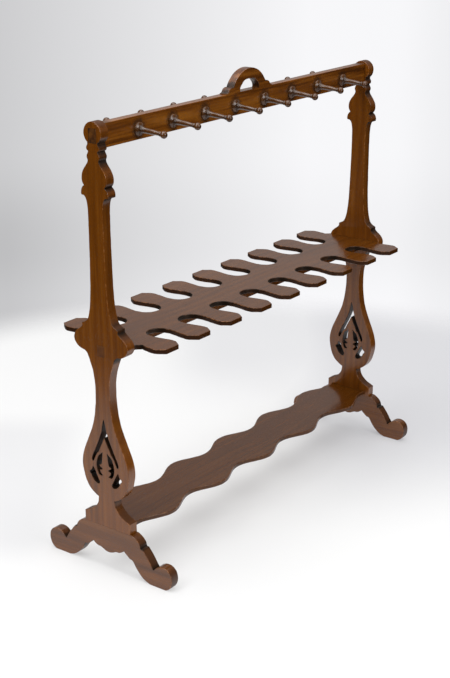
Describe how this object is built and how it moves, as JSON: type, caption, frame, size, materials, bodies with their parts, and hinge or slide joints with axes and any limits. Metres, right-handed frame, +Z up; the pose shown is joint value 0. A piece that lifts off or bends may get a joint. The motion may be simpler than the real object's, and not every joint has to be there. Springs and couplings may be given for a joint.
{
  "type": "boot and whip rack",
  "caption": "Free-standing wooden boot and whip rack: shaped, pierced end boards on scroll feet carry a pegged top rail with handle, a slotted comb shelf and a wavy-edged lower shelf.",
  "frame": {"origin": "centre of the floor footprint, on the floor plane under the middle of the rack", "axes": "+X runs along the rack from the left end board to the right one, -Y is the front, +Z is up"},
  "size_m": [0.972, 0.3396, 0.979],
  "materials": {
    "board_wood": "glossy French polish, straight vertical grain",
    "foot_wood": "glossy French polish, grain along the foot",
    "rail_wood": "glossy French polish, grain along the rail",
    "shelf_wood": "glossy French polish, grain along the shelf",
    "peg_wood": "glossy dark polish, turned",
    "dowel_wood": "raw, matt",
    "screw_steel": "plain steel"
  },
  "bodies": {
    "root": {"left_upright": "board_wood", "right_upright": "board_wood", "left_foot": "foot_wood", "right_foot": "foot_wood", "top_rail": "rail_wood", "handle_arch": "rail_wood", "shelf_stretcher": "rail_wood", "boot_shelf": "shelf_wood", "lower_shelf": "shelf_wood", "front_peg_1": "peg_wood", "front_peg_2": "peg_wood", "front_peg_3": "peg_wood", "front_peg_4": "peg_wood", "front_peg_5": "peg_wood", "front_peg_6": "peg_wood", "front_peg_7": "peg_wood", "front_peg_8": "peg_wood", "back_peg_1": "peg_wood", "back_peg_2": "peg_wood", "back_peg_3": "peg_wood", "back_peg_4": "peg_wood", "back_peg_5": "peg_wood", "back_peg_6": "peg_wood", "back_peg_7": "peg_wood", "back_peg_8": "peg_wood", "left_foot_dowels": "dowel_wood", "right_foot_dowels": "dowel_wood", "handle_dowels": "dowel_wood", "shelf_screws": "screw_steel"}
  },
  "joints": []
}
